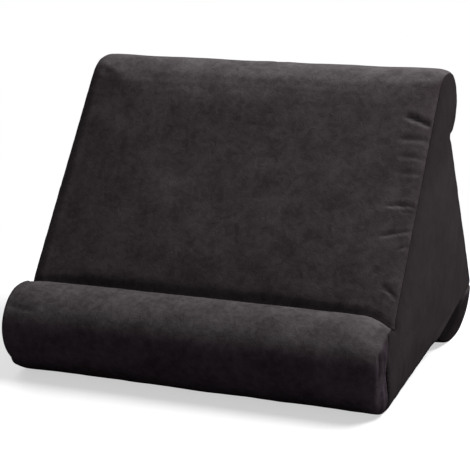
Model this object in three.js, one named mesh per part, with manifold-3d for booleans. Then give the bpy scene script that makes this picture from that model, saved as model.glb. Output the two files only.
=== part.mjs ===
// Tablet cushion stand: a foam wedge in a sewn velour cover, with a stuffed roll at each corner.
// Each roll stands out past one face of the wedge as a lip, so every face can hold a tablet.
// Millimetres, +Z up, +X across the width, the viewing face towards -Y.
// The origin lies on the table, in the middle of the cushion's footprint.

import * as THREE from 'three';
import { mergeVertices } from 'three/addons/utils/BufferGeometryUtils.js';
import Module from 'manifold-3d';

const wasm = await Module();
wasm.setup();

const { degToRad, lerp, smoothstep } = THREE.MathUtils;

// Overall form
const width = 280; // between the two side seams
const height = 216; // table to the top of the top roll
const faceTilt = degToRad(53.3); // viewing face, up from the table
const backTilt = degToRad(56.7); // rear face, up from the table
const baseTilt = degToRad(4.5); // underside, rising towards the rear
const standFlat = 0.5; // how far the two standing rolls are pressed flat on the table

// Rolls, and how far each stands out past the face that it holds up
const ledgeRadius = 32.5;
const ledgeLip = 23.5; // past the viewing face
const topRadius = 27.5;
const topLip = 33; // past the rear face
const rearDepth = 55; // half the depth of the rear roll, which is pressed oval
const rearHeight = 28; // half its height

// Soft ends: the fabric draws in towards the side seams
const edgeRound = 10; // stretch of each edge that draws in
const edgeDraw = 3; // how far it draws in
const ledgeTopRound = 22; // stretch of the ledge's end over which its top drops
const ledgeTopDraw = 7; // how far it drops
const ledgeFrontRound = 6; // stretch over which the ledge's front turns in
const ledgeFrontDraw = 7; // how far it turns in
const ledgeOverhang = 2.75; // the ledge's ends stand out this far past the side seams
const flareFront = -5; // the cushion has the ledge's width in front of here, from the ledge's middle
const flareRear = 30; // and the wedge's width behind here
const sideCrown = 1.2; // bulge of a side panel
const crownRim = 8; // strip round the side panel over which it bulges
const coreRim = 3; // strip round the end of the wedge that stays flat
const ledgeLap = -12; // the ledge's fabric laps round its ends to here, from the ledge's middle
const rearLapTilt = degToRad(10); // upper edge of the rear roll's fabric where it laps round its ends
const rearLapSet = 3; // that edge starts this far up from the crease under the roll

// Cover, fill and sewing
const fabric = 1.6; // velour with its backing
const clearance = 0.3; // between pieces that touch
const fillClearance = 0.6; // between the fill and the cover round it
const web = 1; // inner webs that tie the creases in
const webSet = 24; // a web is sewn to the face this far before its roll begins
const webMargin = 2; // webs stop this far short of the soft ends
const webTrim = 4; // bare strip along a web's two long edges, where only its stitches pass

// Zip across the top of the rear face, sewn into the crease under the top roll
const zipMargin = 18; // side seam to the end of the opening in the cover
const creaseGap = 0.9; // crease to the upper tape
const tapeShow = 5; // tape on either side of the chain
const tapeThickness = 0.7;
const chainHalfWidth = 2.8;
const chainThickness = 1.8;
const chainSink = 0.95; // middle of the chain, below the face of the fabric
const chainParting = 1.6; // free strip between the tooth tips, where the slider's bridge runs
const toothPitch = 3;
const toothWidth = 1.4;
const toothLength = 1.1;
const stopLength = 2.6;
const sliderLength = 11;
const sliderMouth = 8.8; // width of the slider at its opening end
const sliderTail = 7.4; // width at its closing end
const sliderPlate = 1.2;
const sliderRim = 0.6; // edges of the upper plate, turned down beside the chain
const sliderRound = 2; // rounding of the slider's opening end
const bridgeLength = 2.2;
const bridgeWidth = 1;
const bridgeSet = 0.8; // bridge behind the slider's opening end
const bailLength = 6;
const bailHeight = 3.5;
const bailThickness = 1.6;
const eyeLength = 3; // hole in the bail
const eyeHeight = 2.1;
const eyeRise = 0.5; // hole above the slider's plate
const pullLength = 24;
const pullWidth = 7;
const pullNeck = 5.2; // width beside the bail
const pullThickness = 1.2;
const pullBar = 1.2; // bar through the bail
const pullWindow = 3.6; // slot that swings round the bail
const pullArm = 1.2; // metal on each side of that slot
const reliefDepth = 1.1; // foam pressed in behind the slider

// Mesh fineness
const arcSteps = 14;
const drawSteps = [0.2, 0.4, 0.65, 1]; // rings over the soft stretch at each end
const crownSteps = [0, 0.25, 0.6, 1]; // rings over the bulge of a side panel

// Colours
const velour = new THREE.MeshStandardMaterial({ color: 0x2e2a2c, roughness: 0.95 });
const foam = new THREE.MeshStandardMaterial({ color: 0xd9d3c3, roughness: 1 });
const fibre = new THREE.MeshStandardMaterial({ color: 0xeceae4, roughness: 1 });
const lining = new THREE.MeshStandardMaterial({ color: 0x3b393b, roughness: 0.95 });
const tape = new THREE.MeshStandardMaterial({ color: 0x1b1a1c, roughness: 0.9 });
const nylon = new THREE.MeshStandardMaterial({ color: 0x232224, roughness: 0.45 });
const blackMetal = new THREE.MeshStandardMaterial({ color: 0x2a292b, roughness: 0.35, metalness: 0.8 });

// Outward normal of each face in the side view, as (y, z), and the way along it to the roll that ends it
const faceNormal = new THREE.Vector2(-Math.sin(faceTilt), Math.cos(faceTilt));
const backNormal = new THREE.Vector2(Math.sin(backTilt), Math.cos(backTilt));
const baseNormal = new THREE.Vector2(Math.sin(baseTilt), -Math.cos(baseTilt));
const alongFace = (normal) => new THREE.Vector2(normal.y, -normal.x);

// An oval roll in the side view: its middle and its half depth and half height
const roll = (y, z, depth, rise) => ({ y, z, depth, rise });
const shrink = (r, by) => roll(r.y, r.z, r.depth - by, r.rise - by);
const onRoll = (r, angle) =>
  new THREE.Vector2(r.y + r.depth * Math.cos(angle), r.z + r.rise * Math.sin(angle));
const halfSpan = (r, normal) => Math.hypot(r.depth * normal.x, r.rise * normal.y);
const offset = (r, normal) => r.y * normal.x + r.z * normal.y;
const reach = (r, normal) => offset(r, normal) + halfSpan(r, normal);

// Angle on a roll where a face touches it, and where a line at that distance comes out of it
const touchAngle = (r, normal) => Math.atan2(r.rise * normal.y, r.depth * normal.x);
const leaveAngle = (r, normal, distance) =>
  touchAngle(r, normal) - Math.acos((distance - offset(r, normal)) / halfSpan(r, normal));

// The three rolls of the full section, each placed by the face that it ends and the lip that it gives
const ledgeRoll = roll(0, ledgeRadius - standFlat, ledgeRadius, ledgeRadius);
const faceDistance = reach(ledgeRoll, faceNormal) - ledgeLip;
const topZ = height - topRadius;
const topY = (faceDistance - topRadius - topZ * faceNormal.y) / faceNormal.x;
const topRoll = roll(topY, topZ, topRadius, topRadius);
const backDistance = reach(topRoll, backNormal) - topLip;
const rearZ = rearHeight - standFlat;
const rearY = (backDistance - reach(roll(0, rearZ, rearDepth, rearHeight), backNormal)) / backNormal.x;
const rearRoll = roll(rearY, rearZ, rearDepth, rearHeight);
const footprintMiddle = (rearY + rearDepth - ledgeRadius) / 2;

// Share of a draw-in at a distance from the side seam: all of it at the seam, none in the body
const drawIn = (distance, stretch, power = 2) => Math.max(0, 1 - distance / stretch) ** power;

// The ledge at a distance from the side seam
function ledgeAt(distance) {
  const front = -ledgeRadius + ledgeFrontDraw * drawIn(distance, ledgeFrontRound, 3);
  const top = 2 * ledgeRadius - standFlat - ledgeTopDraw * drawIn(distance, ledgeTopRound);
  const bottom = -standFlat + edgeDraw * drawIn(distance, edgeRound);
  const radius = (top - bottom) / 2;
  return roll(front + radius, bottom + radius, radius, radius);
}

// How much wider the cushion is at a place from front to rear than the wedge
const spread = (y) => lerp(1 + (2 * ledgeOverhang) / width, 1, smoothstep(y, flareFront, flareRear));

// The cover's panels at a distance from the side seam. Each is a face and the roll that ends it.
// It starts in the crease with the roll before it, and ends in the crease with the face after it.
function panelsAt(distance) {
  const draw = edgeDraw * drawIn(distance, edgeRound);
  const ledge = ledgeAt(distance);
  const top = shrink(topRoll, draw);
  const rear = shrink(rearRoll, draw);
  return [
    { before: ledge, normal: faceNormal, own: top, nextNormal: backNormal, nextOwn: rear },
    { before: top, normal: backNormal, own: rear, nextNormal: baseNormal, nextOwn: ledge },
    { before: rear, normal: baseNormal, own: ledge, nextNormal: faceNormal, nextOwn: top },
  ];
}

// Points on a roll, turning from one angle back to another
function arcPoints(r, from, to) {
  const sweep = (((from - to) % (2 * Math.PI)) + 2 * Math.PI) % (2 * Math.PI);
  return Array.from({ length: arcSteps + 1 }, (_, i) => onRoll(r, from - (sweep * i) / arcSteps));
}

// The side view of one panel at a depth under its surface: its first crease, then its roll to the second.
// With a gap, it starts that far from the roll before it.
function panelLine(panel, depth, gap = 0) {
  const own = shrink(panel.own, depth);
  const before = shrink(panel.before, depth - gap);
  const start = onRoll(before, leaveAngle(before, panel.normal, reach(own, panel.normal)));
  const nextDistance = reach(shrink(panel.nextOwn, depth), panel.nextNormal);
  const end = leaveAngle(own, panel.nextNormal, nextDistance);
  return [start, ...arcPoints(own, touchAngle(own, panel.normal), end)];
}

// Where two lines meet, each given by its normal and its distance along it
function meet(a, b) {
  const turn = a.normal.x * b.normal.y - a.normal.y * b.normal.x;
  const y = (a.distance * b.normal.y - b.distance * a.normal.y) / turn;
  const z = (a.normal.x * b.distance - b.normal.x * a.distance) / turn;
  return new THREE.Vector2(y, z);
}

// An outline, taken clockwise in the side view, with all its sides moved in
function moveIn(corners, inset) {
  const sides = corners.map((corner, i) => {
    const way = corners[(i + 1) % corners.length].clone().sub(corner).normalize();
    const normal = new THREE.Vector2(way.y, -way.x);
    return { normal, distance: normal.dot(corner) + inset };
  });
  return corners.map((_, i) => meet(sides.at(i - 1), sides[i]));
}

// The straight line of a panel's face at a depth under its surface
const faceLine = (panel, depth) =>
  ({ normal: panel.normal, distance: reach(shrink(panel.own, depth), panel.normal) });

// A mesh geometry whose faces point out, whichever way its triangles were listed
function outward(position, index) {
  const vertex = (i) => new THREE.Vector3().fromArray(position, 3 * i);
  let volume = 0;
  for (let i = 0; i < index.length; i += 3) {
    volume += vertex(index[i]).dot(vertex(index[i + 1]).cross(vertex(index[i + 2])));
  }
  const geometry = new THREE.BufferGeometry();
  geometry.setAttribute('position', new THREE.Float32BufferAttribute(position, 3));
  geometry.setIndex(volume > 0 ? index : index.toReversed());
  geometry.computeVertexNormals();
  return geometry;
}

// A closed solid through a row of outlines, each { x, points }, with a cap on the first and the last
function loft(outlines) {
  const clockwise = THREE.ShapeUtils.isClockWise(outlines[0].points);
  const rings = outlines.map(({ x, points }) => ({ x, points: clockwise ? points.toReversed() : points }));
  const count = rings[0].points.length;
  const last = (rings.length - 1) * count;
  const index = [];
  for (let ring = 0; ring < last; ring += count) {
    for (let i = 0; i < count; i += 1) {
      const next = (i + 1) % count;
      index.push(ring + i, ring + next, ring + count + next);
      index.push(ring + i, ring + count + next, ring + count + i);
    }
  }
  for (const [a, b, c] of THREE.ShapeUtils.triangulateShape(rings[0].points, [])) index.push(c, b, a);
  for (const [a, b, c] of THREE.ShapeUtils.triangulateShape(rings.at(-1).points, [])) {
    index.push(last + a, last + b, last + c);
  }
  return outward(rings.flatMap(({ x, points }) => points.flatMap((p) => [x * spread(p.x), p.x, p.y])), index);
}

// Outlines over the whole width, from a function of the distance to the nearer side seam
function acrossWidth(distances, outlineAt) {
  const left = distances.map((d) => ({ x: d - width / 2, points: outlineAt(d) }));
  const right = left.map(({ x, points }) => ({ x: -x, points })).reverse();
  return [...left, ...right];
}

function toSolid(geometry) {
  const bare = geometry.clone();
  bare.deleteAttribute('normal');
  bare.deleteAttribute('uv');
  const merged = mergeVertices(bare);
  const vertProperties = new Float32Array(merged.attributes.position.array);
  const triVerts = new Uint32Array(merged.index.array);
  return new wasm.Manifold(new wasm.Mesh({ numProp: 3, vertProperties, triVerts }));
}

function fromSolid(solid) {
  const { vertProperties, triVerts } = solid.getMesh();
  return outward(Array.from(vertProperties), Array.from(triVerts));
}

const cut = (geometry, tool) => fromSolid(toSolid(geometry).subtract(toSolid(tool)));
const overlap = (geometry, tool) => fromSolid(toSolid(geometry).intersect(toSolid(tool)));
const join = (...geometries) => fromSolid(geometries.map(toSolid).reduce((whole, next) => whole.add(next)));

function piece(name, geometry, material) {
  const mesh = new THREE.Mesh(geometry, material);
  mesh.name = name;
  return mesh;
}

// A rectangular block between two corners
function block(low, high) {
  const size = high.map((value, i) => value - low[i]);
  const middle = high.map((value, i) => (value + low[i]) / 2);
  return new THREE.BoxGeometry(...size).translate(...middle);
}

// Frame of the zip: its origin in the middle of the rear crease, y down the rear face, z out of it
const rearCrease = panelLine(panelsAt(width / 2)[0], 0).at(-1);
const zipFrame = new THREE.Group();
zipFrame.position.set(0, rearCrease.x, rearCrease.y);
zipFrame.rotation.x = -backTilt;
zipFrame.updateMatrix();
const onRearFace = (geometry) => geometry.applyMatrix4(zipFrame.matrix);

// Places across the zip, down the face from the crease
const upperTapeEnd = creaseGap + tapeShow;
const zipMiddle = upperTapeEnd + clearance + chainHalfWidth;
const lowerTapeStart = zipMiddle + chainHalfWidth + clearance;
const lowerTapeEnd = lowerTapeStart + tapeShow;
const zipHalf = width / 2 - zipMargin;
const chainHalf = zipHalf - clearance - stopLength - clearance;
const chainTop = chainThickness / 2 - chainSink;
const chainBottom = chainTop - chainThickness;
const plateTop = chainTop + clearance + sliderPlate;
const plateBottom = chainBottom - clearance - sliderPlate;

// Distances from the side seam at which the cover and the fill are drawn
const fillStart = fabric + clearance;
const softStretch = Math.max(edgeRound, ledgeTopRound);
const fillStations = [fillStart, ...drawSteps.map((share) => share * softStretch)];
const coverStations = [0, ...fillStations];
const fillDepth = fabric + fillClearance;

// A panel of the cover that wraps one face and its roll
function coverPanel(which) {
  return loft(acrossWidth(coverStations, (distance) => {
    const panel = panelsAt(distance)[which];
    return [...panelLine(panel, 0, clearance), ...panelLine(panel, fabric, clearance).reverse()];
  }));
}

const far = width + height; // beyond the whole cushion
const table = block([-far, -far, -far], [far, far, 0]);
const zipSlot = onRearFace(block(
  [-zipHalf, -zipMiddle, -2 * fabric],
  [zipHalf, lowerTapeEnd + clearance, fabric],
));

// The side of the cushion at a depth inside its rim: a sheet that bulges out from its edge
function sideSheet(side, depth) {
  const edge = panelsAt(0).flatMap((panel) => panelLine(panel, depth).slice(1));
  const sheet = (seat) => crownSteps.map((share) => ({
    x: side * (seat + sideCrown * (1 - (1 - share) ** 2)),
    points: moveIn(edge, share * crownRim),
  }));
  return loft([...sheet(width / 2 - fabric).reverse(), ...sheet(width / 2)]);
}

// The parts of the sides that the ledge's and the rear roll's fabric laps over, drawn larger by a gap
const ledgeLapZone = (gap) => block([-far, -far, -far], [far, ledgeLap + gap, far]);
const underCrease = panelLine(panelsAt(0)[1], fabric).at(-1);
const rearLapZone = (gap) => block([-far, -gap, -far], [far, far, gap])
  .rotateX(rearLapTilt)
  .translate(0, underCrease.x + rearLapSet, underCrease.y + rearLapSet);
const lap = (side, zone) => overlap(sideSheet(side, fabric / 2), zone);
const withLaps = (panel, zone) => join(panel, lap(-1, zone), lap(1, zone));

const backrestPanel = () => coverPanel(0);
const rearPanel = () => withLaps(cut(cut(coverPanel(1), table), zipSlot), rearLapZone(0));
const basePanel = () => withLaps(cut(coverPanel(2), table), ledgeLapZone(0));
const sidePanel = (side) =>
  cut(cut(sideSheet(side, fabric + clearance), ledgeLapZone(clearance)), rearLapZone(clearance));

// The inner webs, in the full section: each runs from a face, before its roll, to the crease after the roll
const webs = panelsAt(width / 2).map((panel) => {
  const line = panelLine(panel, fabric);
  const foot = line[1].clone().addScaledVector(alongFace(panel.normal), -webSet);
  const crease = line.at(-1);
  const direction = crease.clone().sub(foot).normalize();
  const normal = new THREE.Vector2(-direction.y, direction.x);
  return { foot, crease, direction, normal, distance: normal.dot(foot) };
});
const webSpace = web / 2 + clearance;
const besideWeb = ({ normal, distance }, space) => ({ normal, distance: distance + space });

// The wedge of foam between the three faces and the three webs, with its ends bulging behind the side panels
function wedgeOutline(distance) {
  const lines = panelsAt(distance).flatMap((panel, i) =>
    [faceLine(panel, fillDepth), besideWeb(webs[i], -webSpace)]);
  return lines.map((line, i) => meet(lines.at(i - 1), line));
}

function coreWedge() {
  const body = acrossWidth(fillStations, wedgeOutline);
  const bulge = crownSteps.map((share) => ({
    x: width / 2 - fillStart + sideCrown * (1 - (1 - share) ** 2),
    points: moveIn(wedgeOutline(fillStart), coreRim + share * crownRim),
  }));
  const otherBulge = bulge.map(({ x, points }) => ({ x: -x, points })).reverse();
  const relief = onRearFace(block(
    [-zipHalf, zipMiddle - sliderMouth / 2 - 2 * clearance, plateBottom - clearance - reliefDepth],
    [zipHalf, zipMiddle + sliderMouth / 2 + 2 * clearance, fabric],
  ));
  return cut(loft([...otherBulge, ...body, ...bulge]), relief);
}

// The stuffing of a roll, between the cover and its web
function rollFill(which) {
  const edge = besideWeb(webs[which], webSpace);
  return loft(acrossWidth(fillStations, (distance) => {
    const panel = panelsAt(distance)[which];
    const own = shrink(panel.own, fillDepth);
    const end = leaveAngle(own, edge.normal, edge.distance);
    return [meet(faceLine(panel, fillDepth), edge), ...arcPoints(own, touchAngle(own, panel.normal), end)];
  }));
}

// The web between a roll and the wedge, as long as the straight part of the cushion
function rollWeb(which) {
  const { foot, crease, direction } = webs[which];
  const length = width - 2 * (softStretch + webMargin);
  const geometry = new THREE.BoxGeometry(length, foot.distanceTo(crease) - 2 * webTrim, web);
  geometry.rotateX(Math.atan2(direction.y, direction.x));
  return geometry.translate(0, (foot.x + crease.x) / 2, (foot.y + crease.y) / 2);
}

const zipTape = (start, end) => block(
  [-zipHalf + clearance, start, -chainSink - tapeThickness / 2],
  [zipHalf - clearance, end, -chainSink + tapeThickness / 2],
);

// One half of the chain: a comb of moulded teeth, the two halves stepped by half a pitch
function zipTeeth(side) {
  const outer = zipMiddle + side * chainHalfWidth;
  const tip = zipMiddle + (side * chainParting) / 2;
  const valley = tip + side * toothLength;
  const comb = new THREE.Shape();
  comb.moveTo(-chainHalf, outer);
  comb.lineTo(-chainHalf, valley);
  const first = -chainHalf + (toothPitch * (2 + side)) / 4;
  for (let x = first; x + toothWidth < chainHalf; x += toothPitch) {
    comb.lineTo(x, valley);
    comb.lineTo(x, tip);
    comb.lineTo(x + toothWidth, tip);
    comb.lineTo(x + toothWidth, valley);
  }
  comb.lineTo(chainHalf, valley);
  comb.lineTo(chainHalf, outer);
  const geometry = new THREE.ExtrudeGeometry(comb, { depth: chainThickness, bevelEnabled: false });
  return geometry.translate(0, 0, chainBottom);
}

function zipStop(side) {
  const inner = side * (chainHalf + clearance);
  const outer = inner + side * stopLength;
  return block(
    [Math.min(inner, outer), zipMiddle - chainHalfWidth, chainBottom],
    [Math.max(inner, outer), zipMiddle + chainHalfWidth, chainTop],
  );
}

// The slider at the closed end of the chain, and its pull lying back over the chain
const sliderPlace = chainHalf - sliderLength / 2;
const upperPlate = plateTop - sliderPlate / 2; // the middle of each plate's thickness
const lowerPlate = plateBottom + sliderPlate / 2;
const hingeHeight = plateTop + eyeRise + eyeHeight / 2;

// A plate outline: narrow at the tail, wide and rounded at the mouth
function sliderOutline() {
  const half = sliderLength / 2;
  const tail = sliderTail / 2;
  const mouth = sliderMouth / 2;
  const outline = new THREE.Shape();
  outline.moveTo(-half, -tail);
  outline.lineTo(0, -tail);
  outline.lineTo(half - sliderRound, -mouth);
  outline.quadraticCurveTo(half, -mouth, half, -mouth + sliderRound);
  outline.lineTo(half, mouth - sliderRound);
  outline.quadraticCurveTo(half, mouth, half - sliderRound, mouth);
  outline.lineTo(0, tail);
  outline.lineTo(-half, tail);
  outline.closePath();
  return outline;
}

function zipSlider() {
  const plate = (bottom) => new THREE.ExtrudeGeometry(sliderOutline(), {
    depth: sliderPlate,
    bevelEnabled: false,
    curveSegments: 4,
  }).translate(0, 0, bottom);
  const rimLow = -chainSink + tapeThickness / 2 + clearance;
  const rimInner = chainHalfWidth + clearance;
  const rimOuter = rimInner + sliderRim;
  const lowRim = block([-sliderLength / 2, -rimOuter, rimLow], [0, -rimInner, upperPlate]);
  const highRim = block([-sliderLength / 2, rimInner, rimLow], [0, rimOuter, upperPlate]);
  const bridgeEnd = sliderLength / 2 - bridgeSet;
  const bridge = block(
    [bridgeEnd - bridgeLength, -bridgeWidth / 2, lowerPlate],
    [bridgeEnd, bridgeWidth / 2, upperPlate],
  );
  return join(plate(plateTop - sliderPlate), plate(plateBottom), lowRim, highRim, bridge, bail());
}

// The arch on the slider that the pull swings in
function bail() {
  const half = bailLength / 2;
  const arch = new THREE.Shape();
  arch.moveTo(-half, upperPlate);
  arch.lineTo(half, upperPlate);
  arch.lineTo(half, plateTop + bailHeight / 2);
  arch.quadraticCurveTo(half, plateTop + bailHeight, 0, plateTop + bailHeight);
  arch.quadraticCurveTo(-half, plateTop + bailHeight, -half, plateTop + bailHeight / 2);
  arch.closePath();
  const eye = new THREE.Path();
  eye.moveTo(-eyeLength / 2, hingeHeight);
  eye.quadraticCurveTo(-eyeLength / 2, hingeHeight - eyeHeight / 2, 0, hingeHeight - eyeHeight / 2);
  eye.quadraticCurveTo(eyeLength / 2, hingeHeight - eyeHeight / 2, eyeLength / 2, hingeHeight);
  eye.quadraticCurveTo(eyeLength / 2, hingeHeight + eyeHeight / 2, 0, hingeHeight + eyeHeight / 2);
  eye.quadraticCurveTo(-eyeLength / 2, hingeHeight + eyeHeight / 2, -eyeLength / 2, hingeHeight);
  arch.holes.push(eye);
  const geometry = new THREE.ExtrudeGeometry(arch, {
    depth: bailThickness,
    bevelEnabled: false,
    curveSegments: 4,
  });
  return geometry.translate(0, 0, -bailThickness / 2).rotateX(Math.PI / 2);
}

// The pull: a tab with a slot at one end, whose end bar passes through the bail
function zipPull() {
  const tab = new THREE.Shape();
  const end = pullBar / 2;
  const shoulder = -end - pullWindow - pullArm;
  tab.moveTo(end, -pullNeck / 2);
  tab.lineTo(end, pullNeck / 2);
  tab.lineTo(shoulder, pullNeck / 2);
  tab.lineTo(shoulder - pullWidth / 2, pullWidth / 2);
  tab.lineTo(end - pullLength + pullWidth / 2, pullWidth / 2);
  tab.absarc(end - pullLength + pullWidth / 2, 0, pullWidth / 2, Math.PI / 2, (3 * Math.PI) / 2, false);
  tab.lineTo(shoulder - pullWidth / 2, -pullWidth / 2);
  tab.lineTo(shoulder, -pullNeck / 2);
  tab.closePath();
  const slot = new THREE.Path();
  const slotHalf = pullNeck / 2 - pullArm;
  slot.moveTo(-end, -slotHalf);
  slot.lineTo(-end - pullWindow, -slotHalf);
  slot.lineTo(-end - pullWindow, slotHalf);
  slot.lineTo(-end, slotHalf);
  slot.closePath();
  tab.holes.push(slot);
  const geometry = new THREE.ExtrudeGeometry(tab, {
    depth: pullThickness,
    bevelEnabled: false,
    curveSegments: 8,
  });
  return geometry.translate(0, 0, -pullThickness / 2);
}

// Assembly
const slider = piece('zip_slider', zipSlider(), blackMetal);
slider.position.set(sliderPlace, zipMiddle, 0);
const pull = piece('zip_pull', zipPull(), blackMetal);
pull.position.set(sliderPlace, zipMiddle, hingeHeight);

zipFrame.add(
  piece('zip_tape_upper', zipTape(creaseGap, upperTapeEnd), tape),
  piece('zip_tape_lower', zipTape(lowerTapeStart, lowerTapeEnd), tape),
  piece('zip_teeth_upper', zipTeeth(-1), nylon),
  piece('zip_teeth_lower', zipTeeth(1), nylon),
  piece('zip_stop_open', zipStop(-1), nylon),
  piece('zip_stop_closed', zipStop(1), nylon),
  slider,
  pull,
);

const cushion = new THREE.Group();
cushion.position.y = -footprintMiddle;
cushion.add(
  piece('backrest_panel', backrestPanel(), velour),
  piece('rear_panel', rearPanel(), velour),
  piece('base_panel', basePanel(), velour),
  piece('side_panel_left', sidePanel(-1), velour),
  piece('side_panel_right', sidePanel(1), velour),
  piece('core_wedge', coreWedge(), foam),
  piece('top_roll_fill', rollFill(0), fibre),
  piece('rear_roll_fill', rollFill(1), fibre),
  piece('ledge_roll_fill', rollFill(2), fibre),
  piece('top_web', rollWeb(0), lining),
  piece('rear_web', rollWeb(1), lining),
  piece('ledge_web', rollWeb(2), lining),
  zipFrame,
);

export default new THREE.Group().add(cushion);
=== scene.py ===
# %% [markdown]
# # A tablet cushion stand
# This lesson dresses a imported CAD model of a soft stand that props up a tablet. The real one is a
# wedge of foam in a sewn velour cover, with a stuffed roll along each long edge. The CAD model
# gives the sizes, the bodies and the joints; the mesh code here gives the sewn, padded look.

# %% Load the frame
from math import acos, atan2, cos, hypot, pi, radians, sin

import bmesh
import bpy
import numpy as np
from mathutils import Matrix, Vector, geometry, kdtree, noise


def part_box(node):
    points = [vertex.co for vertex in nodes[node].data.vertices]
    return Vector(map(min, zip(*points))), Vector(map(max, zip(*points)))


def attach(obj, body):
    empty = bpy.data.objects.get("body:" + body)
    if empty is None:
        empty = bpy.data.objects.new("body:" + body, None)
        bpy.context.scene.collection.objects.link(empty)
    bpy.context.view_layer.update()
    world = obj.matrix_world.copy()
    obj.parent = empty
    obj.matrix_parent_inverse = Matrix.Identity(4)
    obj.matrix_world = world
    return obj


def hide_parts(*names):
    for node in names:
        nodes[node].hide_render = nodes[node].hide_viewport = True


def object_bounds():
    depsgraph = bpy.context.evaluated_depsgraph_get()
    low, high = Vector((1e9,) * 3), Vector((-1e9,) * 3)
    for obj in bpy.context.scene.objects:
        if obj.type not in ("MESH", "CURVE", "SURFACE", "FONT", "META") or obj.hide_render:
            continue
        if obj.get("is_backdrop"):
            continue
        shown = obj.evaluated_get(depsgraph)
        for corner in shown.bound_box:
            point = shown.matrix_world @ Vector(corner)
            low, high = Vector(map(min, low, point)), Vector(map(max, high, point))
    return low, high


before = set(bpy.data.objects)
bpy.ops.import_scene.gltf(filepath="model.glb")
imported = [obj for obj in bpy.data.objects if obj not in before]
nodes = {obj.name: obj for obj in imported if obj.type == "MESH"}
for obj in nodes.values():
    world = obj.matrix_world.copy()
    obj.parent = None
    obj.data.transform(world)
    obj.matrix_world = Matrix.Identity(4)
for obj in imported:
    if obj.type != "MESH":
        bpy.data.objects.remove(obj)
cad_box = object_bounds()
scene = bpy.context.scene

# %% [markdown]
# ## Camera
# The picture was taken from a little to the right of the front and a little above, with a long
# lens. A long lens keeps parallel edges nearly parallel, so its focal length matters as much as
# its place. Both were worked out from the cushion's own edges.

# %% Place the camera
FRAME_PIXELS = 470
FOCAL_PIXELS = 1490
AZIMUTH = radians(21.4)
ELEVATION = radians(13.4)
CAMERA_PLACE = (0.39025, -1.02574, 0.34951)

camera_data = bpy.data.cameras.new("camera")
camera_data.lens = camera_data.sensor_width * FOCAL_PIXELS / FRAME_PIXELS
camera = bpy.data.objects.new("camera", camera_data)
camera.location = CAMERA_PLACE
camera.rotation_euler = (pi / 2 - ELEVATION, 0, AZIMUTH)
scene.collection.objects.link(camera)
scene.camera = camera
print("camera: lens", round(camera_data.lens, 1), "mm")

# %% [markdown]
# ## Node helper and colours
# Every material below is a small graph of shader nodes. One helper adds a node, sets its options
# and fills its sockets, either with a value or with a link from another node.
# Colours are written as sRGB hex, as in any paint program, and turned to linear light once.


# %% Helpers for materials
def linear(hex_colour):
    """Linear RGBA from an sRGB hex value such as 0x2E2A2B."""
    parts = [(hex_colour >> shift & 255) / 255 for shift in (16, 8, 0)]
    return [p / 12.92 if p <= 0.04045 else ((p + 0.055) / 1.055) ** 2.4 for p in parts] + [1]


def add(tree, kind, sockets=None, **settings):
    """A new node with its settings, its sockets set to values or linked from other sockets."""
    node = tree.nodes.new(kind)
    for name, value in settings.items():
        setattr(node, name, value)
    for name, value in (sockets or {}).items():
        if isinstance(value, bpy.types.NodeSocket):
            tree.links.new(value, node.inputs[name])
        else:
            node.inputs[name].default_value = value
    return node


def new_material(name):
    """An empty node material and its tree."""
    material = bpy.data.materials.new(name)
    material.use_nodes = True
    material.node_tree.nodes.clear()
    return material, material.node_tree


MM = 0.001

# %% [markdown]
# ## Floor, backdrop and light
# The stand is shown on plain white. A white floor catches the soft shadow under the cushion and
# fades into the white world well away from it, so no horizon shows. The light is one softbox
# above on the right, a weaker one behind on the left, and a dim even surround.

# %% Build the stage
FLOOR_SIZE = 8.0
FADE_START = 0.2  # metres from the middle of the cushion
FADE_END = 0.45
LEAST_GLOW = 0.55  # of the floor under the cushion, so that its shadow stays soft
SURROUND = 0.2
LIGHT_TARGET = Vector((0, 0, 0.1))


def seen_as_background(tree):
    """1 for a ray straight from the camera, or by way of a gloss or glass, and 0 for other rays."""
    path = add(tree, "ShaderNodeLightPath")
    bounced = add(tree, "ShaderNodeMath", {
        0: path.outputs["Is Glossy Ray"], 1: path.outputs["Is Transmission Ray"],
    }, operation="MAXIMUM")
    seen = add(tree, "ShaderNodeMath", {
        0: path.outputs["Is Camera Ray"], 1: bounced.outputs[0],
    }, operation="MAXIMUM")
    return seen.outputs[0]


floor_material, tree = new_material("white_studio_floor")
place = add(tree, "ShaderNodeTexCoord")
reach_out = add(tree, "ShaderNodeVectorMath", {0: place.outputs["Object"]}, operation="LENGTH")
fade = add(tree, "ShaderNodeMapRange", {
    "Value": reach_out.outputs["Value"], "From Min": FADE_START, "From Max": FADE_END,
    "To Min": LEAST_GLOW,
})
paper = add(tree, "ShaderNodeBsdfDiffuse", {"Color": linear(0xFFFFFF)})
glow = add(tree, "ShaderNodeEmission", {"Color": linear(0xFFFFFF), "Strength": 1.0})
white = add(tree, "ShaderNodeMixShader", {
    0: fade.outputs["Result"], 1: paper.outputs[0], 2: glow.outputs[0],
})
dim = add(tree, "ShaderNodeBsdfDiffuse", {"Color": linear(0x808080)})
mixed = add(tree, "ShaderNodeMixShader", {
    0: seen_as_background(tree), 1: dim.outputs[0], 2: white.outputs[0],
})
add(tree, "ShaderNodeOutputMaterial", {"Surface": mixed.outputs[0]})

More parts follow.
